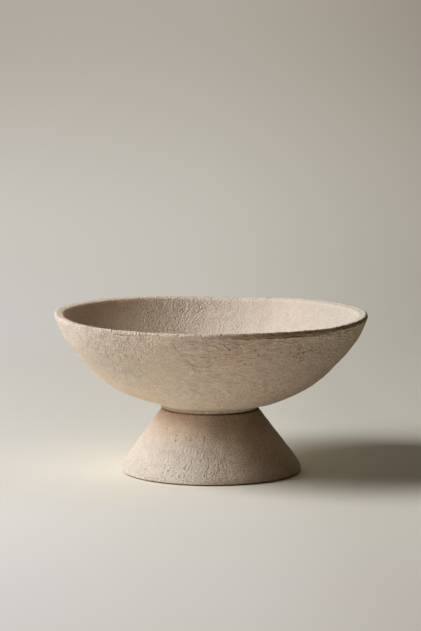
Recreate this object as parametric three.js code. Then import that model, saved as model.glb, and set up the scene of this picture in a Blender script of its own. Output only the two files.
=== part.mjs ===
// A wide pottery bowl on a flared foot, in coarse unglazed stoneware.
// Bowl and pedestal are two fired pieces. The bowl's turned foot ring sits over a low round boss
// on the pedestal's closed top, on a thin bed of cement, and four felt pads carry the whole.
// The origin is on the table under the centre of the foot, with +Z up.

import * as THREE from 'three';

// Sizes are in millimetres and angles in degrees. A height is measured from the piece's own foot.

// Bowl: overall size, and the lip. Its outside is an upright band, and its top falls inwards.
const rimRadius = 152.7;
const bowlHeight = 92.5;
const lipWidth = 9.4;
const lipBand = 3.8;
const lipFall = 0.9;
const lipOuterRound = 1.9;
const lipInnerRound = 3;

// Bowl: the wall, from the foot ring over the turn to the lip, as angles above the level
const undersideHeight = 3.7;
const undersideAngle = 16;
const turnRadius = 116.7;
const turnHeight = 37.7;
const turnAngle = 47;
const wallAngle = 70;
const wallThickness = 9.4;
const floorThickness = 10.8;

// Bowl: the foot ring turned on its underside
const footRingRadius = 48;
const footRingWidth = 7;
const footRecessDepth = 2.5;
const footRingRound = 0.9;
const footRingFillet = 1.6;

// Pedestal: a hollow cone with a closed deck
const pedestalHeight = 61.2;
const pedestalFootRadius = 88.4;
const deckSetback = 0.9;
const pedestalEdgeHeight = 5.5;
const pedestalEdgeSoftening = 4.4;
const pedestalArris = 1.2;
const pedestalTopRound = 0.9;
const footLandWidth = 14.5;
const deckThickness = 10;
const wallAtCeiling = 14.7;
const hollowTopSoftening = 7;

// The seat of the bowl on the pedestal
const bossHeight = 2;
const bossClearance = 0.5;
const bossChamfer = 0.6;
const bondThickness = 0.6;
const bondInset = 2;
const bondClearance = 0.5;

// Felt pads under the pedestal
const padCount = 4;
const padRadius = 5;
const padThickness = 1;
const padStartAngle = 45;

// The lip rises and dips by hand: so many waves round the rim, so high, with a crest at an angle
// counted from +X towards +Y.
const rimWaves = [
  { count: 1, height: 0.8, crest: 185 },
  { count: 2, height: 1.05, crest: -3 },
  { count: 3, height: 0.8, crest: 30 },
];

// Faces round each turned piece, and along the stretches of its outline
const facesRound = 96;
const facesRoundPad = 24;
const stepsSweep = 8;
const stepsFloor = 10;
const stepsRound = 3;
const stepsEdge = 2;

// Colours, from the fired clay, the cement and the felt
const clay = { color: 0xcdbfae, roughness: 0.95, metalness: 0 };
const cement = { color: 0x8d8376, roughness: 0.9, metalness: 0 };
const felt = { color: 0x6f675c, roughness: 1, metalness: 0 };

// The recess inside the foot ring, and the deck that the ring stands on
const footRecessRadius = footRingRadius - footRingWidth;
const pedestalTopRadius = footRingRadius - deckSetback;

// Levels above the table, each carried by the one below it
const pedestalFootLevel = padThickness;
const deckLevel = pedestalFootLevel + pedestalHeight;
const bowlFootLevel = deckLevel + bondThickness;
const rimLevel = bowlFootLevel + bowlHeight;

const radians = THREE.MathUtils.degToRad;

// A pen that draws half of a turned section, as points of radius and height.
class Pen {
  constructor(radius, height) {
    this.points = [new THREE.Vector2(radius, height)];
  }

  get end() {
    return this.points[this.points.length - 1];
  }

  follow(curve, steps) {
    this.points.push(...curve.getPoints(steps).slice(1));
    return this;
  }

  line(radius, height) {
    this.points.push(new THREE.Vector2(radius, height));
    return this;
  }

  // A soft corner that would meet at the corner point if it were sharp.
  soften(cornerRadius, cornerHeight, radius, height, steps) {
    const corner = new THREE.Vector2(cornerRadius, cornerHeight);
    const to = new THREE.Vector2(radius, height);
    return this.follow(new THREE.QuadraticBezierCurve(this.end, corner, to), steps);
  }

  // A smooth stretch that leaves at one angle and arrives at another.
  sweep(fromAngle, radius, height, toAngle, steps) {
    const to = new THREE.Vector2(radius, height);
    const handle = this.end.distanceTo(to) / 3;
    const leave = this.end.clone().add(heading(fromAngle, handle));
    const arrive = to.clone().sub(heading(toAngle, handle));
    return this.follow(new THREE.CubicBezierCurve(this.end, leave, arrive, to), steps);
  }

  // An arc round a centre, between two angles counted from the outward direction.
  arc(centreRadius, centreHeight, radius, fromAngle, toAngle, steps) {
    const from = radians(fromAngle);
    const to = radians(toAngle);
    const curve = new THREE.EllipseCurve(
      centreRadius, centreHeight, radius, radius, from, to, to < from,
    );
    this.points.push(...curve.getPoints(steps));
    return this;
  }
}

function heading(angle, length) {
  return new THREE.Vector2(Math.cos(radians(angle)), Math.sin(radians(angle))).multiplyScalar(length);
}

// The angle above the level of the line that lies on top of two rounds, the inner one first.
function tangentAngle(innerCentre, innerRound, outerCentre, outerRound) {
  const reach = outerCentre.clone().sub(innerCentre);
  const between = Math.asin((innerRound - outerRound) / reach.length());
  return THREE.MathUtils.radToDeg(reach.angle() - between);
}

// Turns a section about the upright axis.
function turned(points, faces) {
  const geometry = new THREE.LatheGeometry(points, faces);
  geometry.rotateX(Math.PI / 2);
  return geometry;
}

function named(name, geometry, material) {
  const mesh = new THREE.Mesh(geometry, new THREE.MeshStandardMaterial(material));
  mesh.name = name;
  return mesh;
}

// How far the lip stands above its mean level at an angle round the rim, in radians.
function rimRise(angle) {
  let rise = 0;
  for (const wave of rimWaves) {
    rise += wave.height * Math.cos(wave.count * (angle - radians(wave.crest)));
  }
  return rise;
}

// Lifts the bowl by the lip's unevenness, which grows evenly from the foot ring out to the lip.
function liftRim(geometry) {
  const place = geometry.attributes.position;
  for (let i = 0; i < place.count; i += 1) {
    const radius = Math.hypot(place.getX(i), place.getY(i));
    const share = THREE.MathUtils.mapLinear(radius, footRingRadius, rimRadius, 0, 1);
    const rise = rimRise(Math.atan2(place.getY(i), place.getX(i)));
    place.setZ(i, place.getZ(i) + Math.max(share, 0) * rise);
  }
  return geometry;
}

// The bowl: foot ring, underside, turn, near-straight wall, banded lip and a dished inside.
function makeBowl() {
  const recessLevel = bowlFootLevel + footRecessDepth;
  const floorLevel = recessLevel + floorThickness;
  const undersideLevel = bowlFootLevel + undersideHeight;
  const undersideStart = heading(undersideAngle, footRingFillet).add(
    new THREE.Vector2(footRingRadius, undersideLevel),
  );
  const turnLevel = bowlFootLevel + turnHeight;
  const lipOuterCentre = new THREE.Vector2(rimRadius - lipOuterRound, rimLevel - lipOuterRound);
  const lipInnerCentre = new THREE.Vector2(
    rimRadius - lipWidth + lipInnerRound, rimLevel - lipFall - lipInnerRound,
  );
  const lipEnd = heading(wallAngle + 90, lipInnerRound).add(lipInnerCentre);
  const lipTopAngle = tangentAngle(lipInnerCentre, lipInnerRound, lipOuterCentre, lipOuterRound);
  const insideTurn = heading(turnAngle + 90, wallThickness).add(
    new THREE.Vector2(turnRadius, turnLevel),
  );

  // The foot ring and the outside, up to the lip
  const section = new Pen(0, recessLevel)
    .line(footRecessRadius, recessLevel)
    .line(footRecessRadius, bowlFootLevel)
    .line(footRingRadius - footRingRound, bowlFootLevel)
    .soften(footRingRadius, bowlFootLevel, footRingRadius, bowlFootLevel + footRingRound, stepsEdge)
    .line(footRingRadius, undersideLevel - footRingFillet)
    .soften(footRingRadius, undersideLevel, undersideStart.x, undersideStart.y, stepsEdge)
    .sweep(undersideAngle, turnRadius, turnLevel, turnAngle, stepsSweep)
    .sweep(turnAngle, rimRadius, rimLevel - lipBand, wallAngle, stepsSweep)
    .arc(lipOuterCentre.x, lipOuterCentre.y, lipOuterRound, 0, lipTopAngle + 90, stepsRound);
  // The rest of the lip and the inside, worked out from the floor up and joined on backwards
  const inside = new Pen(0, floorLevel)
    .sweep(0, insideTurn.x, insideTurn.y, turnAngle, stepsFloor)
    .sweep(turnAngle, lipEnd.x, lipEnd.y, wallAngle, stepsSweep)
    .arc(lipInnerCentre.x, lipInnerCentre.y, lipInnerRound, wallAngle + 90, lipTopAngle + 90,
      stepsRound);
  const points = [...section.points, ...inside.points.reverse()];
  return named('bowl', liftRim(turned(points, facesRound)), clay);
}

// The pedestal: a hollow cone, thicker at its foot, with a closed deck and a boss for the bowl.
function makePedestal() {
  const cornerLevel = pedestalFootLevel + pedestalEdgeHeight;
  const ceilingLevel = deckLevel - deckThickness;
  const hollowFootRadius = pedestalFootRadius - footLandWidth;
  const bossRadius = footRecessRadius - bossClearance;
  const bossLevel = deckLevel + bossHeight;
  const corner = new THREE.Vector2(pedestalFootRadius, cornerLevel);
  const top = new THREE.Vector2(pedestalTopRadius, deckLevel);
  const slope = top.clone().sub(corner).normalize();
  const coneStart = slope.clone().multiplyScalar(pedestalEdgeSoftening).add(corner);
  const coneEnd = slope.clone().multiplyScalar(-pedestalTopRound).add(top);
  const outsideAtCeiling = THREE.MathUtils.mapLinear(
    ceilingLevel, corner.y, top.y, corner.x, top.x,
  );
  const hollowCorner = new THREE.Vector2(outsideAtCeiling - wallAtCeiling, ceilingLevel);
  const hollowSlope = new THREE.Vector2(hollowFootRadius, pedestalFootLevel)
    .sub(hollowCorner)
    .normalize();
  const hollowEnd = hollowSlope.clone().multiplyScalar(hollowTopSoftening).add(hollowCorner);

  const section = new Pen(0, ceilingLevel)
    .line(hollowCorner.x - hollowTopSoftening, ceilingLevel)
    .soften(hollowCorner.x, hollowCorner.y, hollowEnd.x, hollowEnd.y, stepsRound)
    .line(hollowFootRadius - hollowSlope.x * pedestalArris,
      pedestalFootLevel - hollowSlope.y * pedestalArris)
    .soften(hollowFootRadius, pedestalFootLevel, hollowFootRadius + pedestalArris,
      pedestalFootLevel, stepsEdge)
    .line(pedestalFootRadius - pedestalArris, pedestalFootLevel)
    .soften(pedestalFootRadius, pedestalFootLevel, pedestalFootRadius,
      pedestalFootLevel + pedestalArris, stepsEdge)
    .soften(corner.x, corner.y, coneStart.x, coneStart.y, stepsRound)
    .line(coneEnd.x, coneEnd.y)
    .soften(top.x, top.y, top.x - pedestalTopRound, top.y, stepsEdge)
    .line(bossRadius, deckLevel)
    .line(bossRadius, bossLevel - bossChamfer)
    .line(bossRadius - bossChamfer, bossLevel)
    .line(0, bossLevel);
  return named('pedestal', turned(section.points, facesRound), clay);
}

// The bed of cement between the deck and the foot ring, kept back from the outside.
function makeBondRing() {
  const innerRadius = footRecessRadius + bondClearance;
  const outerRadius = pedestalTopRadius - bondInset;
  const section = new Pen(innerRadius, deckLevel)
    .line(outerRadius, deckLevel)
    .line(outerRadius, bowlFootLevel)
    .line(innerRadius, bowlFootLevel)
    .line(innerRadius, deckLevel);
  return named('bond_ring', turned(section.points, facesRound), cement);
}

// One round felt pad, on the middle of the pedestal's foot land.
function makePad(index) {
  const pad = new THREE.CylinderGeometry(padRadius, padRadius, padThickness, facesRoundPad);
  pad.rotateX(Math.PI / 2);
  const mesh = named(`felt_pad_${index + 1}`, pad, felt);
  const angle = radians(padStartAngle) + (index * 2 * Math.PI) / padCount;
  const ringRadius = pedestalFootRadius - footLandWidth / 2;
  mesh.position.set(
    ringRadius * Math.cos(angle), ringRadius * Math.sin(angle), padThickness / 2,
  );
  return mesh;
}

const potteryBowl = new THREE.Group();
potteryBowl.add(makeBowl(), makePedestal(), makeBondRing());
for (let index = 0; index < padCount; index += 1) {
  potteryBowl.add(makePad(index));
}

export default potteryBowl;
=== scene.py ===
# A wide pottery bowl cemented on a flared foot, in coarse unglazed stoneware. The script follows
# the way it is put together: pads, pedestal, cement, bowl, and then the floor and light round it.
import math

import bpy
import numpy as np
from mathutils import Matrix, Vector, noise
from mathutils.geometry import interpolate_bezier


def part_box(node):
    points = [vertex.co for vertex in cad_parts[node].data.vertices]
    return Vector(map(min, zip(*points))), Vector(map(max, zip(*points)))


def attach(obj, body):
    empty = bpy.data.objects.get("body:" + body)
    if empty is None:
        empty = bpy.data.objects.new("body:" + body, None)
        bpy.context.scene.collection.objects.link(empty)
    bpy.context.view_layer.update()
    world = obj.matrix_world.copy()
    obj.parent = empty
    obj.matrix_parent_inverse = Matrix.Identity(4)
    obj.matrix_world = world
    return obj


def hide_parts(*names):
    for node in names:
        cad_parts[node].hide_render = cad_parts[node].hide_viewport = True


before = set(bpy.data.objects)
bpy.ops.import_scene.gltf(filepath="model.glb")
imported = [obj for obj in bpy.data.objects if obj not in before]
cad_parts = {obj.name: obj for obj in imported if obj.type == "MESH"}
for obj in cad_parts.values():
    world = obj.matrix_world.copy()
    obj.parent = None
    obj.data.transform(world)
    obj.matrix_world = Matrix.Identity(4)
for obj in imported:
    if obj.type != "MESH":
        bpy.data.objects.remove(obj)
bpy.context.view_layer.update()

# Felt pads
# Four dots of pressed wool felt, glued under the pedestal so that the gritty clay can't scratch
# a table. Each is punched from sheet, so its edge is square and frayed by a few fibres.
mm = 0.001


def feed(tree, socket, value):
    """Gives a shader socket a plain value, or a link to one that is worked out."""
    if isinstance(value, Tone):
        tree.links.new(value.socket, socket)
    else:
        socket.default_value = value


class Tone:
    """A shader value or colour that can be added, multiplied and so on like a number."""

    def __init__(self, tree, socket):
        self.tree = tree
        self.socket = socket

    def combine(self, operation, first, second):
        node = self.tree.nodes.new("ShaderNodeMath")
        node.operation = operation
        for socket, value in zip(node.inputs, (first, second)):
            feed(self.tree, socket, value)
        return Tone(self.tree, node.outputs[0])

    def __add__(self, other):
        return self.combine("ADD", self, other)

    def __radd__(self, other):
        return self.combine("ADD", other, self)

    def __sub__(self, other):
        return self.combine("SUBTRACT", self, other)

    def __rsub__(self, other):
        return self.combine("SUBTRACT", other, self)

    def __mul__(self, other):
        return self.combine("MULTIPLY", self, other)

    def __rmul__(self, other):
        return self.combine("MULTIPLY", other, self)

    def __truediv__(self, other):
        return self.combine("DIVIDE", self, other)

    def __pow__(self, other):
        return self.combine("POWER", self, other)

    def least(self, other):
        return self.combine("MINIMUM", self, other)

    def most(self, other):
        return self.combine("MAXIMUM", self, other)

    def turned_from(self, other):
        """The angle in radians of a direction, from its part along Y and its part along X."""
        return self.combine("ARCTAN2", self, other)


class Finish:
    """A material under construction, on the piece's own Object coordinates."""

    def __init__(self, name):
        self.material = bpy.data.materials.new(name)
        self.material.use_nodes = True
        self.tree = self.material.node_tree
        self.shader = self.tree.nodes["Principled BSDF"]
        self.place = self.node("ShaderNodeTexCoord", out="Object")

    def node(self, kind, settings=None, out=0, **sockets):
        """Adds a node: first its settings, then values or links for its sockets by name."""
        made = self.tree.nodes.new(kind)
        for key, value in (settings or {}).items():
            setattr(made, key, value)
        for key, value in sockets.items():
            wanted = key.replace("_", " ")
            socket = next(s for s in made.inputs if s.name == wanted and s.enabled)
            feed(self.tree, socket, value)
        return Tone(self.tree, made.outputs[out])

    def vectors(self, operation, first, second, out="Vector"):
        """A Vector Math node that works on two vectors."""
        made = self.tree.nodes.new("ShaderNodeVectorMath")
        made.operation = operation
        for socket, value in zip(made.inputs, (first, second)):
            feed(self.tree, socket, value)
        return Tone(self.tree, made.outputs[out])

    def split(self, vector):
        """The three parts of a vector."""
        return [self.node("ShaderNodeSeparateXYZ", out=part, Vector=vector) for part in "XYZ"]

    def near(self, point, radius):
        """1 at a point of the piece, falling softly to 0 at a radius from it."""
        away = self.vectors("DISTANCE", self.place, point, out="Value")
        return 1 - self.between(away, 0.0, radius)

    def stretched(self, scale):
        """The place on the piece, with each axis counted in units of its own."""
        return self.node("ShaderNodeMapping", {"vector_type": "POINT"}, Vector=self.place,
                         Scale=scale)

    def grain(self, size, detail=2.0, roughness=0.5, place=None):
        """Soft noise from 0 to 1 whose largest features are about so many metres across."""
        return self.node("ShaderNodeTexNoise", Vector=place or self.place, Scale=1 / size,
                         Detail=detail, Roughness=roughness)

    def cells(self, size, place=None):
        """The distance to the nearest of many scattered points, in units of the size."""
        return self.node("ShaderNodeTexVoronoi", out="Distance", Vector=place or self.place,
                         Scale=1 / size)

    def between(self, value, low, high):
        """0 where the value is under the low mark and 1 over the high one, smooth between."""
        return self.node("ShaderNodeMapRange", {"interpolation_type": "SMOOTHSTEP"}, Value=value,
                         From_Min=low, From_Max=high)

    def blend(self, share, first, second):
        """A colour between two, by a share from 0 to 1."""
        made = self.tree.nodes.new("ShaderNodeMix")
        made.data_type = "RGBA"
        feed(self.tree, made.inputs["Factor"], share)
        for name, value in (("A", first), ("B", second)):
            socket = next(s for s in made.inputs if s.name == name and s.type == "RGBA")
            feed(self.tree, socket, value if isinstance(value, Tone) else (*value, 1))
        return Tone(self.tree, next(s for s in made.outputs if s.type == "RGBA"))

    def scaled(self, colour, strength):
        """A colour made lighter or darker by a shader value."""
        return self.node("ShaderNodeVectorMath", {"operation": "SCALE"}, Vector=colour,
                         Scale=strength)

    def relief(self, height, depth, under=None):
        """A bump whose height runs from 0 to 1 over a real depth in metres."""
        sockets = {"Height": height, "Distance": depth, "Strength": 1.0}
        if under is not None:
            sockets["Normal"] = under
        return self.node("ShaderNodeBump", **sockets)

    def dress(self, piece, **sockets):
        """Feeds the shader's sockets and puts the material on a piece."""
        for key, value in sockets.items():
            feed(self.tree, self.shader.inputs[key.replace("_", " ")], value)
        piece.data.materials.clear()
        piece.data.materials.append(self.material)

    def join(self, share, first, second):
        """Two shaders mixed by a share from 0 to 1."""
        made = self.tree.nodes.new("ShaderNodeMixShader")
        for socket, value in zip(made.inputs, (share, first, second)):
            feed(self.tree, socket, value)
        return Tone(self.tree, made.outputs[0])

    def show(self, shader):
        """Makes this shader the one that is seen."""
        feed(self.tree, self.tree.nodes["Material Output"].inputs["Surface"], shader)


def start_fresh():
    """Leaves object mode with nothing selected, as every new piece starts."""
    if bpy.context.object and bpy.context.object.mode != "OBJECT":
        bpy.ops.object.mode_set(mode="OBJECT")
    bpy.ops.object.select_all(action="DESELECT")


def select_faces(piece, chosen):
    """In edit mode, selects the faces for which chosen(face) is true."""
    bpy.ops.object.mode_set(mode="EDIT")
    bpy.ops.mesh.select_mode(type="FACE")
    bpy.ops.mesh.select_all(action="DESELECT")
    bpy.ops.object.mode_set(mode="OBJECT")
    for face in piece.data.polygons:
        face.select = chosen(face)
    bpy.ops.object.mode_set(mode="EDIT")


pad_sides = 48
pad_edge_round = 0.25 * mm
pad_rings = (1.2 * mm, 1.6 * mm)
felt_nap = 0.12 * mm
felt_shadow = (0.11, 0.093, 0.074)
felt_fibre = (0.2, 0.172, 0.142)

pad_finish = Finish("pressed_wool_felt")
fibres = pad_finish.grain(0.5 * mm, detail=4, place=pad_finish.stretched((1, 1, 3)))
tufts = pad_finish.grain(2.2 * mm, detail=1)
pad_colour = pad_finish.blend(fibres, felt_shadow, felt_fibre)

for pad_node in sorted(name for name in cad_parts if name.startswith("felt_pad")):
    pad_low, pad_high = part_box(pad_node)
    pad_middle = (pad_low + pad_high) / 2
    start_fresh()
    bpy.ops.mesh.primitive_cylinder_add(
        vertices=pad_sides, radius=(pad_high.x - pad_low.x) / 2, depth=pad_high.z - pad_low.z,
        location=pad_middle)
    pad = bpy.context.object
    pad.name = pad_node + "_felt"
    bpy.ops.object.transform_apply(location=True)
    select_faces(pad, lambda face: abs(face.normal.z) > 0.9)
    for ring in pad_rings:
        bpy.ops.mesh.inset(thickness=ring)
    bpy.ops.object.mode_set(mode="OBJECT")
    edge = pad.modifiers.new("cut edge", "BEVEL")
    edge.width = pad_edge_round
    edge.segments = 2
    edge.limit_method = "ANGLE"
    bpy.ops.object.modifier_apply(modifier=edge.name)
    bpy.ops.object.shade_smooth_by_angle(angle=math.radians(40))
    pad_finish.dress(pad, Base_Color=pad_colour, Roughness=1.0, Sheen_Weight=0.3,
                     Normal=pad_finish.relief(fibres + tufts, felt_nap))
    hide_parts(pad_node)
    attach(pad, "root")

# Pedestal
# The flared foot, thrown and turned hollow in coarse stoneware: a straight cone outside with a
# softened edge at the floor, a thick foot land under it, and a closed deck with a low boss.


class Outline:
    """Half of a turned section, as points of radius and height joined in order."""

    def __init__(self, radius, height):
        self.points = [Vector((radius, height))]

    def line(self, radius, height, steps=1):
        start, stop = self.points[-1], Vector((radius, height))
        self.points += [start.lerp(stop, (step + 1) / steps) for step in range(steps)]
        return self

    def curve(self, leave, arrive, stop, steps):
        """A cubic curve with the given handles."""
        made = interpolate_bezier(self.points[-1], leave, arrive, stop, steps + 1)
        self.points += [Vector(point[:2]) for point in made[1:]]
        return self

    def sweep(self, leave, radius, height, arrive, steps):
        """A smooth stretch that leaves at one angle and arrives at another, in degrees."""
        start, stop = self.points[-1], Vector((radius, height))
        handle = (stop - start).length / 3
        return self.curve(start + heading(leave, handle), stop - heading(arrive, handle), stop,
                          steps)

    def soften(self, corner, stop, steps):
        """A soft turn at a corner that would otherwise be sharp."""
        start, corner, stop = self.points[-1], Vector(corner), Vector(stop)
        return self.curve(start.lerp(corner, 2 / 3), stop.lerp(corner, 2 / 3), stop, steps)

    def arc(self, centre, radius, start_angle, stop_angle, steps):
        """An arc round a centre, between two angles from the outward direction."""
        centre = Vector(centre)
        for step in range(steps + 1):
            angle = start_angle + (stop_angle - start_angle) * step / steps
            self.points.append(centre + heading(angle, radius))
        return self


def heading(angle, length):
    return Vector((math.cos(math.radians(angle)), math.sin(math.radians(angle)))) * length


def turn(name, outline, spokes, levels):
    """Draws the outline from a single point by extruding it, spins it round and rounds it off."""
    start_fresh()
    bpy.ops.mesh.primitive_plane_add(size=mm)
    piece = bpy.context.object
    piece.name = name
    bpy.ops.object.mode_set(mode="EDIT")
    bpy.ops.mesh.select_mode(type="VERT")
    bpy.ops.mesh.merge(type="CENTER")
    drawn = [Vector((point.x, 0, point.y)) for point in outline.points]
    bpy.ops.transform.translate(value=drawn[0])
    for here, there in zip(drawn, drawn[1:]):
        bpy.ops.mesh.extrude_region_move(TRANSFORM_OT_translate={"value": there - here})
    bpy.ops.mesh.select_all(action="SELECT")
    bpy.ops.mesh.spin(steps=spokes, angle=math.tau, center=(0, 0, 0), axis=(0, 0, 1))
    bpy.ops.mesh.select_all(action="SELECT")
    bpy.ops.mesh.remove_doubles(threshold=0.02 * mm)
    bpy.ops.mesh.normals_make_consistent(inside=False)
    bpy.ops.object.mode_set(mode="OBJECT")
    rounding = piece.modifiers.new("rounding", "SUBSURF")
    rounding.levels = levels
    rounding.render_levels = levels
    bpy.ops.object.modifier_apply(modifier=rounding.name)
    bpy.ops.object.shade_smooth()
    return piece


def read_points(piece):
    places = np.zeros(len(piece.data.vertices) * 3, np.float32)
    piece.data.vertices.foreach_get("co", places)
    return places.reshape(-1, 3).astype(float)


def read_normals(piece):
    normals = np.zeros(len(piece.data.vertices) * 3, np.float32)
    piece.data.vertex_normals.foreach_get("vector", normals)
    return normals.reshape(-1, 3).astype(float)


def write_points(piece, places):
    piece.data.vertices.foreach_set("co", places.astype(np.float32).ravel())
    piece.data.update()


def smooth_step(value, low, high):
    share = np.clip((value - low) / (high - low), 0, 1)
    return share * share * (3 - 2 * share)


def round_axis(places):
    """The angle round the axis and the distance from it, at each point."""
    return np.arctan2(places[:, 1], places[:, 0]), np.hypot(places[:, 0], places[:, 1])


def turning_marks(places, spacing, length, seed):
    """Noise drawn out round the axis, as a turning tool leaves it, from -1 to 1 at each point."""
    angle, reach = round_axis(places)
    turns = reach.max() / length
    up_slope = (places[:, 2] + reach) / spacing + seed
    wound = np.stack([np.cos(angle) * turns, np.sin(angle) * turns, up_slope], 1)
    return np.array([noise.noise(Vector(place)) for place in wound])


def weather(piece, coats, still):
    """Moves the skin in and out by coats of cloudy noise (size, depth), but not where it is
    still, which is 0 there and 1 elsewhere."""
    free_skin = "free skin"
    piece.vertex_groups.new(name=free_skin)
    for index, share in enumerate(still(read_points(piece))):
        piece.vertex_groups[free_skin].add([index], share, "REPLACE")
    for size, depth in coats:
        lumps = bpy.data.textures.new(piece.name + "_lumps", "CLOUDS")
        lumps.noise_scale = size
        lumps.noise_depth = 1
        coat = piece.modifiers.new("coat", "DISPLACE")
        coat.texture = lumps
        coat.strength = depth
        coat.vertex_group = free_skin
        bpy.ops.object.modifier_apply(modifier=coat.name)
    piece.vertex_groups.remove(piece.vertex_groups[free_skin])


def score(piece, spacing, length, depth, still, seed):
    """Draws turning marks of a spacing, length and depth round the skin."""
    places = read_points(piece)
    marks = turning_marks(places, spacing, length, seed) * depth * still(places)
    write_points(piece, places + read_normals(piece) * marks[:, None])


foot_low, foot_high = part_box("pedestal")
foot_radius = foot_high.x
foot_level = foot_low.z
boss_level = foot_high.z
boss_height = 2 * mm
boss_radius = 40.5 * mm
boss_bevel = 0.6 * mm
deck_level = boss_level - boss_height
deck_radius = 47.1 * mm
deck_round = 0.9 * mm
deck_thickness = 10 * mm
edge_height = 5.5 * mm
edge_reach = 4.4 * mm
land_width = 14.5 * mm
land_round = 1.2 * mm
ceiling_radius = 39.8 * mm

cone_low = Vector((foot_radius, foot_level + edge_height))
cone_high = Vector((deck_radius, deck_level))
cone_way = (cone_high - cone_low).normalized()
hollow_radius = foot_radius - land_width
hollow_start = Vector((hollow_radius - 0.7 * mm, foot_level + 1.1 * mm))
ceiling_level = deck_level - deck_thickness
ceiling_flat = ceiling_radius - 7 * mm
ceiling_turn = Vector((ceiling_radius + 3.9 * mm, ceiling_level - 5.8 * mm))

pedestal_outline = Outline(0, ceiling_level)
pedestal_outline.line(ceiling_flat, ceiling_level, steps=3)
pedestal_outline.soften((ceiling_radius, ceiling_level), ceiling_turn, steps=3)
pedestal_outline.line(*hollow_start, steps=6)
pedestal_outline.soften((hollow_radius, foot_level), (hollow_radius + land_round, foot_level), 2)
pedestal_outline.line(foot_radius - 1.4 * mm, foot_level, steps=3)
pedestal_outline.soften((foot_radius, foot_level), (foot_radius, foot_level + land_round), 2)
pedestal_outline.soften(cone_low, cone_low + cone_way * edge_reach, steps=3)
pedestal_outline.line(*(cone_high - cone_way * deck_round), steps=14)
pedestal_outline.soften(cone_high, (deck_radius - deck_round, deck_level), steps=2)
pedestal_outline.line(boss_radius, deck_level, steps=2)
pedestal_outline.line(boss_radius, boss_level - boss_bevel)
pedestal_outline.line(boss_radius - boss_bevel, boss_level)
pedestal_outline.line(0, boss_level, steps=2)

pedestal = turn("pedestal_stoneware", pedestal_outline, spokes=128, levels=2)

# The cone leans to the left as it rises, and the bowl's foot ring sits on it just as far over
join_lean = 1.0 * mm


def lean(piece, share):
    """Moves the skin to the left by the join's lean, in the share that it has at each point."""
    places = read_points(piece)
    places[:, 0] -= join_lean * share(places)
    write_points(piece, places)


lean(pedestal, lambda places: ((places[:, 2] - foot_level) / (deck_level - foot_level)).clip(0, 1))


def pedestal_seats(places):
    """0 on the deck and on the foot land, so that what touches them stays true."""
    height, reach = places[:, 2], round_axis(places)[1]
    off_land = smooth_step(height, foot_level, foot_level + 1.5 * mm)
    on_deck = smooth_step(height, deck_level - 1.5 * mm, deck_level - 0.2 * mm)
    return off_land * (1 - on_deck * (reach < deck_radius))


pedestal_lumps = ((34 * mm, 1.2 * mm), (11 * mm, 0.5 * mm), (4.5 * mm, 0.3 * mm))
weather(pedestal, pedestal_lumps, pedestal_seats)
score(pedestal, spacing=2.4 * mm, length=30 * mm, depth=0.05 * mm, still=pedestal_seats, seed=4)


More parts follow.
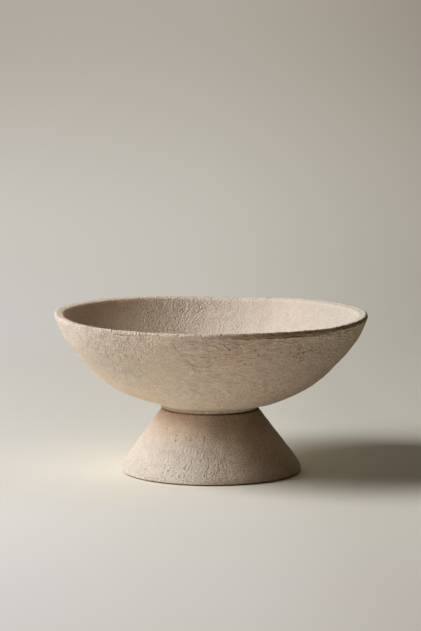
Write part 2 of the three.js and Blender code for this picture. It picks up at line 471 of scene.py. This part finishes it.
class Clay(Finish):
    """Coarse unglazed stoneware: matt, sandy, mottled by the kiln, pitted and tooled. Its height
    is in millimetres, and its skin is the place counted round the axis and up, in metres."""

    def __init__(self, name, body, warm, girth):
        super().__init__(name)
        self.girth = girth
        self.across, self.deep, self.high = self.split(self.place)
        self.reach = (self.across * self.across + self.deep * self.deep) ** 0.5
        self.skin = self.node("ShaderNodeCombineXYZ", Y=self.high, Z=0.0,
                              X=self.deep.turned_from(self.across) * girth)
        self.mottle = self.grain(9 * mm, detail=3, roughness=0.6)
        self.pebbles = self.grit(1.5 * mm, 1.9 * mm, roughness=0.6)
        self.strokes = self.grain(1.0, detail=2, place=self.wound(5.5 * mm, 1.7 * mm))
        self.speck = self.grain(1.3 * mm, detail=1, roughness=0.7)
        sand = self.grain(0.9 * mm, detail=1)
        pores = self.dots(3.2 * mm, 0.09, 0.17)
        holes = self.dots(17 * mm, 0.03, 0.055)
        self.tone = self.blend(self.between(self.grain(45 * mm, detail=2), 0.35, 0.7), body, warm)
        # The pores and holes are painted darker, as painted shade in their hollows
        self.shade = (0.65 + 0.24 * self.mottle + 0.32 * self.speck + 0.24 * self.strokes
                      - 0.14 * pores) * (1 - 0.3 * holes)
        self.height = 0.7 * sand + 0.4 * self.strokes - 0.4 * pores - 0.5 * holes

    def grit(self, size, spacing, place=None, roughness=0.5):
        """Pebbles of one size, with dips so far apart between them."""
        pebbles = self.grain(size, detail=1, roughness=roughness, place=place)
        return pebbles - 0.7 * self.cells(spacing, place=place)

    def dots(self, spacing, full, gone):
        """1 in dots scattered so far apart, 0 outside them, by two shares of the spacing."""
        return 1 - self.between(self.cells(spacing), full, gone)

    def wound(self, length, spacing):
        """The place counted in strokes so long round the axis and so far apart up the slope."""
        turns = self.girth / length
        return self.node("ShaderNodeCombineXYZ", X=self.across / self.reach * turns,
                         Y=self.deep / self.reach * turns, Z=(self.high + self.reach) / spacing)

    def rightward(self, low, high):
        """0 left of one place and 1 right of another, in mm across the piece."""
        return self.between(self.across, low * mm, high * mm)

    def upward(self, low, high):
        """0 under one level and 1 over another, in mm."""
        return self.between(self.high, low * mm, high * mm)

    def patch(self, x, y, z, radius):
        """1 at a place on the piece, falling softly to 0 at a radius from it, in mm."""
        return self.near(Vector((x, y, z)) * mm, radius * mm)

    def on_skin(self, angle, height):
        """The place on the skin at so many degrees round from +X and so many mm up."""
        return Vector((math.radians(angle) * self.girth, height * mm, 0))

    def scratch(self, start, stop, width):
        """1 along a line between two places on the skin, 0 past its width in mm."""
        start, run = self.on_skin(*start), self.on_skin(*stop) - self.on_skin(*start)
        gone = self.vectors("SUBTRACT", self.skin, start)
        share = self.vectors("DOT_PRODUCT", gone, run / run.length_squared, out="Value")
        nearest = self.scaled(run, share.most(0.0).least(1.0))
        away = self.vectors("DISTANCE", gone, nearest, out="Value")
        return 1 - self.between(away, 0.0, width * mm)

    def pit(self, place, radius):
        """1 at a place on the skin, 0 past its radius in mm."""
        away = self.vectors("DISTANCE", self.skin, self.on_skin(*place), out="Value")
        return 1 - self.between(away, 0.25 * radius * mm, radius * mm)

    def mark(self, kind, marks, depth, darkness, where=1.0):
        """Cuts pits or scratches into the skin, where it takes them, with painted shade in them."""
        deepest = kind(*marks[0])
        for mark in marks[1:]:
            deepest = deepest.most(kind(*mark))
        self.cut(deepest * where, depth, darkness)

    def cut(self, share, depth, darkness):
        """Cuts into the skin so many mm by a share from 0 to 1, and paints shade into the cut
        there.
        """
        self.pile(-depth * share)
        self.lighten(-darkness * share)

    def pile(self, height):
        """Raises the skin by a height in mm, or cuts it where that is under 0."""
        self.height = self.height + height

    def lighten(self, share):
        """Makes the clay lighter by a share, or darker where that is under 0."""
        self.shade = self.shade * (1 + share)

    def stain(self, share, colour):
        """Blends the clay towards another colour by a share from 0 to 1."""
        self.tone = self.blend(share, self.tone, colour)

    def fire(self, piece):
        """Turns the darker clay browner, and puts the finish on the piece."""
        dark = self.shade.least(1.0)
        browner = self.node("ShaderNodeCombineXYZ", X=self.shade, Y=self.shade * dark ** 0.15,
                            Z=self.shade * dark ** 0.4)
        self.dress(piece, Base_Color=self.vectors("MULTIPLY", self.tone, browner), Roughness=0.92,
                   Specular_IOR_Level=0.2, Normal=self.relief(self.height, mm))


foot_body = (0.72, 0.64, 0.565)
foot_warm = (0.735, 0.635, 0.54)
foot_pink = (0.74, 0.58, 0.48)
foot_peach = (0.85, 0.67, 0.53)
pedestal_clay = Clay("pedestal_stoneware_clay", foot_body, foot_warm, girth=76 * mm)

# Pits and gouges seen on the front, as degrees round from +X and mm up, with their size in mm
foot_pits = (((-107.7, 15.0), 1.6), ((-110.3, 7.9), 1.4), ((-119.1, 12.6), 1.3),
             ((-122.3, 10.5), 1.0), ((-108.1, 39.6), 1.4), ((-122.9, 42.9), 1.1),
             ((-121.6, 38.6), 1.2), ((-91.9, 25.0), 1.1), ((-136.9, 47.7), 1.2),
             ((-112.0, 41.5), 0.9), ((-83.0, 20.0), 0.9), ((-97.0, 22.5), 0.9))
foot_gouges = (((-95.8, 43.8), (-95.4, 39.5), 1.4), ((-79.8, 29.0), (-78.9, 22.7), 1.3),
               ((-80.6, 25.5), (-79.9, 21.5), 1.0))
# The pits and gouges are darkened with painted shade in them
pedestal_clay.mark(pedestal_clay.pit, foot_pits, depth=0.7, darkness=0.42)
pedestal_clay.mark(pedestal_clay.scratch, foot_gouges, depth=0.5, darkness=0.2)

# Pebbly grit low on the foot, where the turning tool has torn it, and a pink patch by the gouge
low_down = 1 - pedestal_clay.upward(14, 46)
low_left = low_down * (1 - pedestal_clay.rightward(-45, -15))
gritty = low_down * pedestal_clay.rightward(-72, -45)
pedestal_clay.pile(0.4 * pedestal_clay.strokes)
pedestal_clay.pile(pedestal_clay.pebbles * (1.2 + 0.3 * low_down + 0.3 * low_left))
pedestal_clay.lighten((pedestal_clay.pebbles - 0.19) * (0.12 + 0.4 * gritty))
pedestal_clay.lighten(-0.015 - 0.05 * low_down)
pedestal_clay.stain(pedestal_clay.patch(-15, -60, 42, radius=16) * 0.6, foot_pink)

# Under the bowl, painted shadow darkens the clay from the middle to the right, and the clay is
# tinted peach to the left. Painted shade darkens the crevice at the deck, most on the right, and
# the clay is browner to the right.
under_bowl = pedestal_clay.upward(30, 55)
pedestal_clay.lighten(-0.3 * under_bowl * pedestal_clay.rightward(-12, 12))
deck_crevice = pedestal_clay.between(pedestal_clay.high, deck_level - 1.5 * mm,
                                     deck_level - 0.5 * mm)
pedestal_clay.lighten(deck_crevice * (-0.25 - 0.45 * pedestal_clay.rightward(-30, 30)))
pedestal_clay.stain(under_bowl * (1 - pedestal_clay.rightward(-30, 5)), foot_peach)
brown_side = pedestal_clay.rightward(-25, 8) * (1 - pedestal_clay.rightward(38, 55))
browned = pedestal_clay.node("ShaderNodeCombineXYZ", X=1.0, Y=1 - 0.03 * brown_side,
                             Z=1 - 0.09 * brown_side)
pedestal_clay.tone = pedestal_clay.vectors("MULTIPLY", pedestal_clay.tone, browned)
# Painted light makes the lit clay low on the left paler, and painted shade darkens the shaded right
# side
painted_light_low_left = low_down * (1 - pedestal_clay.rightward(-50, -5))
pedestal_clay.lighten(0.14 * painted_light_low_left - 0.18 * pedestal_clay.rightward(22, 42))
pedestal_clay.fire(pedestal)
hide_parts("pedestal")
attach(pedestal, "root")

# Bond ring
# The thin bed of grey ceramic cement that holds the bowl's foot ring on the deck. It is set back
# from the outside, so only a dark crevice shows. The solid's own shape is right and stays.
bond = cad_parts["bond_ring"]
cement = Finish("set_ceramic_cement")
cement_shadow = (0.2, 0.18, 0.15)
cement_grey = (0.32, 0.29, 0.25)
cement_lumps = cement.grain(1.8 * mm, detail=3)
cement.dress(bond, Base_Color=cement.blend(cement_lumps, cement_shadow, cement_grey),
             Roughness=0.9, Normal=cement.relief(cement_lumps, 0.2 * mm))

# Bowl
# One fired piece, thrown wide and turned outside: foot ring, nearly level underside, a turn up
# into a long straight wall, and a thick lip levelled by hand, so that it rises and dips.
bowl_low, bowl_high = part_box("bowl")
bowl_foot = bowl_low.z
rim_radius = bowl_high.x
rim_level = bowl_foot + 92.5 * mm
lip_width = 9.4 * mm
lip_band = 3.8 * mm
lip_fall = 0.9 * mm
lip_outer_round = 1.9 * mm
lip_inner_round = 3.0 * mm
ring_radius = 48 * mm
ring_round = 0.9 * mm
recess_radius = 41 * mm
recess_level = bowl_foot + 2.5 * mm
underside_level = bowl_foot + 3.7 * mm
fillet_reach = 1.6 * mm
turn_radius = 116.7 * mm
turn_level = bowl_foot + 37.7 * mm
wall_thickness = 9.4 * mm
floor_level = recess_level + 10.8 * mm
trimmed_reach = 8 * mm
underside_angle = 16
turn_angle = 47
wall_angle = 70

underside_start = (Vector((ring_radius, underside_level))
                   + heading(underside_angle, fillet_reach))
band_foot = Vector((rim_radius, rim_level - lip_band))
trimmed_start = band_foot - heading(wall_angle, trimmed_reach)
lip_outer_centre = Vector((rim_radius - lip_outer_round, rim_level - lip_outer_round))
lip_inner_centre = Vector((rim_radius - lip_width + lip_inner_round,
                           rim_level - lip_fall - lip_inner_round))
lip_reach = lip_outer_centre - lip_inner_centre
lip_slope = math.degrees(math.atan2(lip_reach.y, lip_reach.x)
                         - math.asin((lip_inner_round - lip_outer_round) / lip_reach.length))
lip_end = lip_inner_centre + heading(wall_angle + 90, lip_inner_round)
inside_turn = Vector((turn_radius, turn_level)) + heading(turn_angle + 90, wall_thickness)

inside_outline = Outline(0, floor_level)
inside_outline.sweep(0, *inside_turn, turn_angle, steps=6)
inside_outline.sweep(turn_angle, *lip_end, wall_angle, steps=5)
inside_outline.arc(lip_inner_centre, lip_inner_round, wall_angle + 90, lip_slope + 90, steps=3)

bowl_outline = Outline(0, recess_level)
bowl_outline.line(recess_radius, recess_level, steps=2)
bowl_outline.line(recess_radius, bowl_foot)
bowl_outline.line(ring_radius - ring_round, bowl_foot)
bowl_outline.soften((ring_radius, bowl_foot), (ring_radius, bowl_foot + ring_round), steps=2)
bowl_outline.soften((ring_radius, underside_level), underside_start, steps=2)
bowl_outline.sweep(underside_angle, turn_radius, turn_level, turn_angle, steps=7)
bowl_outline.sweep(turn_angle, *trimmed_start, wall_angle, steps=6)
bowl_outline.line(*band_foot, steps=5)
bowl_outline.line(rim_radius, rim_level - lip_outer_round, steps=2)
bowl_outline.arc(lip_outer_centre, lip_outer_round, 0, lip_slope + 90, steps=3)
outside_points = len(bowl_outline.points)
bowl_outline.points += reversed(inside_outline.points)

bowl = turn("bowl_stoneware", bowl_outline, spokes=128, levels=2)

# The lip rises and dips: so many waves round the rim, so high, with a crest at so many degrees
rim_waves = ((1, 0.79, -175.3), (2, 1.05, -3.2), (3, 0.79, 29.9), (4, 0.08, 34.3),
             (5, 0.24, -16.5), (6, 0.26, -3.2))


def rim_rise(angle):
    """How far the lip stands above its mean level at an angle round the rim."""
    return sum(height * mm * np.cos(count * (angle - math.radians(crest)))
               for count, height, crest in rim_waves)


def lift_rim(piece):
    """Makes the rim rise and dip, and the wall with it, less and less down to the foot ring."""
    places = read_points(piece)
    angle, reach = round_axis(places)
    share = ((reach - ring_radius) / (rim_radius - ring_radius)).clip(0, 1)
    places[:, 2] += rim_rise(angle) * share
    write_points(piece, places)


def outer_skin(places, level):
    """True for the points of the outside, given the level that each had in the outline."""
    wall = np.array(bowl_outline.points[:outside_points])
    return round_axis(places)[1] > np.interp(level, wall[:, 1], wall[:, 0]) - 3 * mm


# The underside's sag and its tilt, and how far from the axis they set in or fade out
sag = 0.9 * mm
sag_sets_in = (45 * mm, 75 * mm)
sag_fades = (92 * mm, 112 * mm)
sag_tilt = 0.024
tilt_fades = (60 * mm, 95 * mm)


def sink_underside(piece):
    """Lets the underside down, as the soft clay sank: a little all round, and to the right."""
    places = read_points(piece)
    reach = round_axis(places)[1]
    sunk = sag * smooth_step(reach, *sag_sets_in) * (1 - smooth_step(reach, *sag_fades))
    tilted = sag_tilt * places[:, 0] * (1 - smooth_step(reach, *tilt_fades))
    past_ring = smooth_step(reach, ring_radius, ring_radius + 3 * mm)
    places[:, 2] -= (sunk + tilted) * past_ring * outer_skin(places, places[:, 2])
    write_points(piece, places)


groove_drop = 0.5 * mm
groove_width = 0.75 * mm
groove_wander = 0.9 * mm
groove_depth = 0.55 * mm
groove_tear = 0.9 * mm
groove_least = 0.1 * mm
groove_fades = (110 * mm, 140 * mm)


def trim_under_lip(piece):
    """Cuts the ragged groove that the trimming tool leaves round the outside, under the lip. It
    fades out at the far left and right."""
    places = read_points(piece)
    angle, reach = round_axis(places)
    below = rim_level + rim_rise(angle) - places[:, 2]
    torn = turning_marks(places, spacing=4 * mm, length=9 * mm, seed=31)
    wander = turning_marks(places * (1, 1, 0), spacing=60 * mm, length=30 * mm, seed=7)
    off_groove = below - lip_band - groove_drop - wander * groove_wander
    groove = np.exp(-(off_groove / groove_width) ** 2)
    on_wall = reach > rim_radius - 3.2 * mm - (below - lip_band).clip(0) * 0.6
    depth = (groove_depth + groove_tear * torn).clip(groove_least) * groove
    depth *= on_wall * (below > 1.5 * mm)
    depth *= 1 - 0.7 * smooth_step(np.abs(places[:, 0]), *groove_fades)
    places[:, :2] *= (1 - depth / reach)[:, None]
    write_points(piece, places)


def bowl_seats(places):
    """0 on the foot ring, so that it stays true on its cement."""
    past_ring = smooth_step(round_axis(places)[1], ring_radius, ring_radius + 6 * mm)
    return np.where(places[:, 2] < floor_level, past_ring, 1)


def over_ring(places):
    """1 on the foot ring, which moves over with the deck, and 0 higher up."""
    return 1 - smooth_step(places[:, 2], bowl_foot + 4 * mm, bowl_foot + 25 * mm)


bowl_lumps = ((48 * mm, 1.2 * mm), (13 * mm, 0.6 * mm), (5.5 * mm, 0.35 * mm))
lift_rim(bowl)
bowl_shape = read_points(bowl)
sink_underside(bowl)
lean(bowl, over_ring)
trim_under_lip(bowl)
weather(bowl, bowl_lumps, bowl_seats)
score(bowl, spacing=3.2 * mm, length=40 * mm, depth=0.07 * mm, still=bowl_seats, seed=14)


def note_lip(piece, before):
    """Keeps how far under the lip's crest each point lies, and whether it is outside."""
    below = rim_level + rim_rise(round_axis(before)[0]) - before[:, 2]
    outside = outer_skin(before, rim_level - below)
    for name, values in (("below_lip", below), ("outside", outside)):
        kept = piece.data.attributes.new(name, "FLOAT", "POINT")
        kept.data.foreach_set("value", values.astype(np.float32))


note_lip(bowl, bowl_shape)
clay_body = (0.785, 0.68, 0.575)
clay_warm = (0.805, 0.675, 0.55)
clay_ochre = (0.78, 0.61, 0.44)
clay_pale = (0.77, 0.69, 0.61)
clay_olive = (0.765, 0.69, 0.59)
inside_brown = (0.84, 0.645, 0.475)
inside_body = (0.775, 0.66, 0.555)
inside_olive = (0.65, 0.575, 0.495)
bowl_clay = Clay("bowl_stoneware_clay", clay_body, clay_warm, girth=148 * mm)
below_lip = bowl_clay.node("ShaderNodeAttribute", {"attribute_name": "below_lip"}, out="Fac")
on_outside = bowl_clay.node("ShaderNodeAttribute", {"attribute_name": "outside"}, out="Fac")

# Scratches and pits seen on the front, as degrees round from +X and mm up, with their size in mm.
# One long score curves down and back up to the right, where the clay has broken it in places.
wall_scratches = (((-121.0, 148.6), (-119.9, 140.0), 1.3), ((-124.3, 148.6), (-123.4, 142.0), 1.1),
                  ((-116.4, 145.9), (-114.9, 149.3), 0.9), ((-123.1, 136.0), (-124.2, 128.5), 0.9),
                  ((-132.2, 141.0), (-132.9, 135.5), 0.9), ((-138.6, 146.0), (-139.3, 140.5), 0.9),
                  ((-142.4, 140.0), (-143.8, 134.5), 0.9), ((-129.0, 146.5), (-129.9, 141.0), 0.9),
                  ((-137.8, 111.5), (-137.4, 102.5), 0.9), ((-135.5, 113.2), (-135.0, 105.3), 0.9))
broken_score = (((-103.8, 146.0), (-102.2, 139.2), 1.3), ((-102.2, 139.2), (-100.2, 132.3), 1.3),
                ((-100.2, 132.3), (-98.5, 127.2), 1.3), ((-98.5, 127.2), (-96.9, 123.3), 1.3),
                ((-96.2, 116.6), (-93.3, 117.2), 0.9), ((-88.2, 143.5), (-86.4, 139.0), 1.0),
                ((-85.8, 145.5), (-83.2, 140.6), 0.8))
score_end = (((-96.9, 123.3), (-94.2, 121.4), 1.3), ((-94.2, 121.4), (-91.7, 121.8), 1.4),
             ((-91.7, 121.8), (-89.5, 124.4), 1.6), ((-97.3, 121.4), (-96.2, 117.2), 1.1))
wall_pits = (((-68.7, 138.7), 1.2), ((-81.4, 105.0), 1.3), ((-70.0, 102.9), 1.0),
             ((-117.7, 136.6), 1.3), ((-66.7, 128.1), 1.2), ((-102.1, 152.6), 1.0),
             ((-100.3, 151.4), 1.0), ((-48.1, 149.5), 1.6))
deep_pits = (((-55.7, 136.7), 2.1), ((-53.0, 133.4), 1.7), ((-55.1, 131.9), 2.4),
             ((-53.2, 131.5), 1.9), ((-53.5, 127.7), 2.1), ((-51.7, 126.6), 1.6),
             ((-73.6, 138.5), 1.3), ((-72.2, 133.6), 1.3), ((-78.7, 128.3), 1.2),
             ((-76.7, 124.6), 1.4), ((-74.1, 123.5), 1.4), ((-83.2, 140.2), 1.3),
             ((-72.2, 143.0), 1.2), ((-70.7, 143.6), 1.1))
broken = bowl_clay.between(bowl_clay.grain(4 * mm, detail=2), 0.3, 0.6) * on_outside
# The scratches and pits are darkened with painted shade in them
bowl_clay.mark(bowl_clay.scratch, wall_scratches, depth=0.35, darkness=0.16, where=on_outside)
bowl_clay.mark(bowl_clay.scratch, broken_score, depth=0.5, darkness=0.2, where=broken)
bowl_clay.mark(bowl_clay.scratch, score_end, depth=0.5, darkness=0.26, where=on_outside)
bowl_clay.mark(bowl_clay.pit, wall_pits, depth=0.4, darkness=0.2, where=on_outside)
bowl_clay.mark(bowl_clay.pit, deep_pits, depth=0.7, darkness=0.34, where=on_outside)

# Upright cracks with painted shade in them, and coarse pebbles, high on the left of the wall,
# dragged up by the trimming tool
drag_turns = 110
drag_length = 4 * mm
dragged = bowl_clay.patch(-98, -112, 144, radius=86) * on_outside
drag_place = bowl_clay.node("ShaderNodeCombineXYZ", Z=bowl_clay.high / drag_length,
                            X=bowl_clay.across / bowl_clay.reach * drag_turns,
                            Y=bowl_clay.deep / bowl_clay.reach * drag_turns)
ridges = bowl_clay.grain(1.0, detail=2, place=drag_place)
cracks = 1 - bowl_clay.between(ridges, 0.31, 0.44)
bowl_clay.cut(cracks * dragged, depth=0.6, darkness=0.22)
bowl_clay.lighten(0.02 + 0.9 * (bowl_clay.speck - 0.5) * dragged)
bowl_clay.lighten(0.4 * (ridges - 0.5) * dragged)
bowl_clay.pile(1.9 * ridges * dragged)

# Over the middle and right of the wall, long strokes and ripples of the turning tool
turned = on_outside * (1 - dragged) * bowl_clay.rightward(-80, -10)
ripples = bowl_clay.grain(1.0, detail=2, place=bowl_clay.wound(9 * mm, 3.6 * mm))
bowl_clay.pile(bowl_clay.pebbles * (on_outside * (1.4 + 1.2 * dragged) - 0.6 * turned))
bowl_clay.pile((1.3 * bowl_clay.strokes + 2.4 * ripples) * turned)
bowl_clay.lighten((0.35 * (bowl_clay.strokes - 0.5) + 0.5 * (ripples - 0.5)) * turned)

# Inside, grit that is coarser on the left, and a rough pitted patch across from the viewer
flatter = bowl_clay.stretched((1, 1, 1.5))
thrown_grit = bowl_clay.grit(1.75 * mm, 2.0 * mm, place=flatter)
inside_left = 1 - bowl_clay.rightward(-50, 10)
inside_right = bowl_clay.rightward(10, 90)
rough_patch = bowl_clay.patch(-9, 139, 140, radius=13)
bowl_clay.pile(thrown_grit * (1 - on_outside) * (1.0 - 0.6 * inside_right + 1.2 * inside_left))
bowl_clay.pile(-2.3 * rough_patch * bowl_clay.cells(2.3 * mm, place=flatter))

# Painted shade darkens the shaded right of the wall, apart from a band under the lip that is
# painted a little lighter
painted_shade_right = bowl_clay.rightward(10, 90) * (1 - bowl_clay.upward(132, 146))
under_lip = bowl_clay.rightward(10, 50) * bowl_clay.upward(130, 144)
bowl_clay.lighten(on_outside * (0.05 * under_lip - 0.1 * painted_shade_right))

# The lip, wiped smooth, with painted light on its top, more on the left, and painted shade on its
# torn face under the crest on the right
ragged = bowl_clay.grain(1.0, detail=2, place=bowl_clay.wound(7 * mm, 3 * mm))
torn_deep = bowl_clay.patch(72, -134, 150, radius=75)
torn_edge = below_lip + (4 * ragged - 2 - 2.2 * torn_deep) * mm
on_lip = 1 - bowl_clay.between(torn_edge, 3.0 * mm, 4.6 * mm)
at_rim = bowl_clay.between(bowl_clay.reach, rim_radius - 3.0 * mm, rim_radius - 1.4 * mm)
lip_face = on_lip * at_rim * on_outside
to_right = bowl_clay.rightward(-25, 60)
bowl_clay.lighten(-0.5 * lip_face * to_right)
lip_top = (1 - bowl_clay.between(below_lip, 3 * mm, 5 * mm)) * (1 - lip_face)
bowl_clay.lighten(lip_top * (0.13 - 0.04 * to_right))

# An ochre blush in clouds low on the left, partly the clay's own colour and partly painted warm
# light thrown up from the floor; the clay is paler on the far left and more olive on the right
bowl_clay.stain(1 - bowl_clay.rightward(-150, -60), clay_pale)
bowl_clay.stain(bowl_clay.rightward(30, 120), clay_olive)
blush = bowl_clay.patch(-108, -62, 106, radius=34).most(bowl_clay.patch(-64, -66, 84, radius=38))
clouds = bowl_clay.between(bowl_clay.grain(14 * mm, detail=3), 0.35, 0.62)
bowl_clay.stain(blush * on_outside * clouds * 0.7, clay_ochre)


def off_ring(low, high):
    """0 within one distance of the foot ring and 1 past another, in mm."""
    return bowl_clay.between(bowl_clay.reach, ring_radius + low * mm, ring_radius + high * mm)


# Lighter round the foot ring and darker on the ring itself, with painted shade in the corner over
# it
fillet = off_ring(0.2, 0.9) * (1 - off_ring(1.2, 2.4))
bowl_clay.lighten(on_outside * (
    0.07 * (1 - off_ring(22, 40)) - 0.3 * fillet - 0.15 * (1 - off_ring(0, 1))))

# Inside, the clay in the deep shade on the left is painted a warmer brown, for the warm light
# bounced there, and it is more olive to the far right
left_or_middle = bowl_clay.blend(bowl_clay.rightward(-120, 40), inside_brown, inside_body)
inside_tone = bowl_clay.blend(bowl_clay.rightward(70, 135), left_or_middle, inside_olive)
bowl_clay.tone = bowl_clay.blend(on_outside, inside_tone, bowl_clay.tone)

# Painted shade where the ring stands on the cement, most of all on the right
ring_crevice = 1 - bowl_clay.between(bowl_clay.high, bowl_foot + 0.5 * mm, bowl_foot + 1.3 * mm)
bowl_clay.lighten(ring_crevice * (-0.15 - 0.4 * bowl_clay.rightward(-30, 30)))
bowl_clay.fire(bowl)
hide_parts("bowl")
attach(bowl, "root")

# Floor and backdrop
# One matt pale paper surface, turned up all round like a studio cove. Near the bowl it takes the
# light and the shadow, and its tone holds painted light. Further off it glows to the eye with
# painted light, and throws back little light.
cove_floor = 4.5
cove_round = 1.5
cove_top = 3.2
near_edge, far_edge = 0.5, 1.1
lens_height = 0.5153
lens_distance = 2.8

cove_outline = Outline(0, 0).line(near_edge, 0).line(cove_floor, 0, 3)
cove_outline.arc((cove_floor, cove_round), cove_round, -90, 0, 8)
cove_outline.line(cove_floor + cove_round, cove_top)
cove = turn("paper_cove", cove_outline, spokes=48, levels=1)
bpy.ops.object.mode_set(mode="EDIT")
bpy.ops.mesh.select_all(action="SELECT")
bpy.ops.mesh.flip_normals()
bpy.ops.object.mode_set(mode="OBJECT")

paper = Finish("pale_paper")
across, deep, high = paper.split(paper.place)
out_from_bowl = paper.node("ShaderNodeVectorMath", {"operation": "LENGTH"}, out="Value",
                           Vector=paper.place)
far = paper.between(out_from_bowl, near_edge, far_edge)
seen = (paper.node("ShaderNodeLightPath", out="Is Camera Ray")
        + paper.node("ShaderNodeLightPath", out="Is Glossy Ray")
        + paper.node("ShaderNodeLightPath", out="Is Transmission Ray")).least(1.0)
# The far paper's painted light, by how far each place lies under the lens and to its side, seen
# from
# in front: brightest low on the left, darker upward and to the right, cooler left and warmer right
widest = 0.12
paper_high = (0.42, 0.383, 0.331)
paper_middle = (0.535, 0.51, 0.455)
paper_low = (0.55, 0.53, 0.475)
from_lens = deep.most(0 - deep) + lens_distance
drop = (lens_height - high) / from_lens
aside = (across / from_lens).most(-widest).least(widest)
left_aside, right_aside = aside.least(0.0), aside.most(0.0)
lower = paper.between(drop, 0.02, 0.105)
fade = (1 - 1.85 * aside - (19 - 13 * lower) * aside * aside) * (
    1 - 1.4 * right_aside * paper.between(drop, 0.03, 0.12))
upper_tone = paper.blend(lower, paper_high, paper_middle)
painted_backdrop_tone = paper.blend(paper.between(drop, 0.105, 0.165), upper_tone, paper_low)
cool_left = left_aside * (0.2 + 0.8 * paper.between(drop, 0.09, 0.14))
warmth = paper.node("ShaderNodeCombineXYZ", X=1.0, Y=1 - 0.3 * right_aside,
                    Z=1 - 0.7 * right_aside - cool_left)
glow = paper.node("ShaderNodeEmission", Strength=1.0,
                  Color=paper.vectors("MULTIPLY", paper.scaled(painted_backdrop_tone, fade), warmth))

# What the paper throws back on the bowl: bright on the lit side, dim and warm in the shadow
near_lit, near_shaded = (1.0, 0.98, 0.87), (0.78, 0.67, 0.58)
far_lit, far_shaded = (0.75, 0.45, 0.40), (0.39, 0.31, 0.12)
shaded = paper.between(across, -0.03, 0.03)
throw = paper.blend(paper.between(out_from_bowl, near_edge - 0.02, near_edge + 0.02),
                    paper.blend(shaded, near_lit, near_shaded),
                    paper.blend(shaded, far_lit, far_shaded))

# The floor round the bowl, with painted light: lighter in front where more light falls, darker to
# the right and back right where the light falls off, a little darker towards the lens, cooler on
# the left
floor_back = (0.81, 0.775, 0.70)
floor_front = (0.905, 0.875, 0.81)
floor_right = (0.89, 0.845, 0.765)
front = paper.between(0 - deep, 0.04, 0.26)
by_lens = paper.between(0 - deep, 0.28, 0.55)
to_left = 1 - paper.between(across, -0.22, -0.02)
dimmer = 1 - 0.04 * by_lens - paper.between(across, 0.02, 0.16) * (
    0.05 + 0.05 * paper.between(deep, 0.05, 0.3))
front_tone = paper.blend(paper.between(across, 0.0, 0.16), floor_front, floor_right)
lit_floor = paper.scaled(paper.blend(front, floor_back, front_tone), dimmer)
cooler = paper.node("ShaderNodeCombineXYZ", X=1 - 0.03 * to_left,
                    Y=1 - 0.03 * to_left - 0.02 * by_lens, Z=1 + 0.01 * to_left)
paper.dress(cove, Roughness=1.0, Specular_IOR_Level=0.0, Base_Color=paper.blend(
    seen, throw, paper.vectors("MULTIPLY", lit_floor, cooler)))
under_paper = paper.node("ShaderNodeNewGeometry", out="Backfacing")
lit = paper.join(far * seen, Tone(paper.tree, paper.shader.outputs[0]), glow)
paper.show(paper.join(under_paper * seen, lit, paper.node("ShaderNodeBsdfTransparent")))

# Light
# One large soft source high on the left and a little in front, a broad weak one low behind the
# bowl, and a faint warm fill from the room.


def soft_light(name, bearing, rise, distance, size, watts, colour):
    """A round soft light that faces the bowl, so many degrees round from +X and so many up."""
    level = heading(bearing, math.cos(math.radians(rise)))
    way = Vector((*level, math.sin(math.radians(rise))))
    start_fresh()
    bpy.ops.object.light_add(type="AREA", location=way * distance)
    light = bpy.context.object
    light.name = name
    light.data.shape = "DISK"
    light.data.size = size
    light.data.energy = watts
    light.data.color = colour
    light.rotation_euler = way.to_track_quat("Z", "Y").to_euler()
    light.visible_camera = False


soft_light("key_light", bearing=-168, rise=41, distance=2.6, size=1.6, watts=70,
           colour=(0.98, 1.0, 1.0))
soft_light("back_light", bearing=90, rise=20, distance=2.4, size=2.4, watts=17,
           colour=(1.0, 1.0, 0.84))

room = bpy.data.worlds.new("room")
bpy.context.scene.world = room
room.use_nodes = True
room_fill = room.node_tree.nodes["Background"]
room_fill.inputs["Color"].default_value = (1.0, 0.5, 0.3, 1)
room_fill.inputs["Strength"].default_value = 0.015

# Camera
# Straight in front of the bowl, looking a little down on it through a long lens. Its distance,
# pitch and shift were worked out from the circles of the lip, the join and the foot.
camera_pitch = 7.386
image_width, image_height = 421, 631
focal_pixels = 2891.4
axis_pixel = (211.1, 316.0)
sensor_width = 36

start_fresh()
bpy.ops.object.camera_add(location=(0, -lens_distance, lens_height),
                          rotation=(math.radians(90 - camera_pitch), 0, 0))
camera = bpy.context.object
camera.data.sensor_width = sensor_width
camera.data.lens = focal_pixels * sensor_width / image_height
camera.data.shift_x = (image_width / 2 - axis_pixel[0]) / image_height
camera.data.shift_y = (axis_pixel[1] - image_height / 2) / image_height
bpy.context.scene.camera = camera
bpy.context.scene.view_settings.view_transform = "Standard"
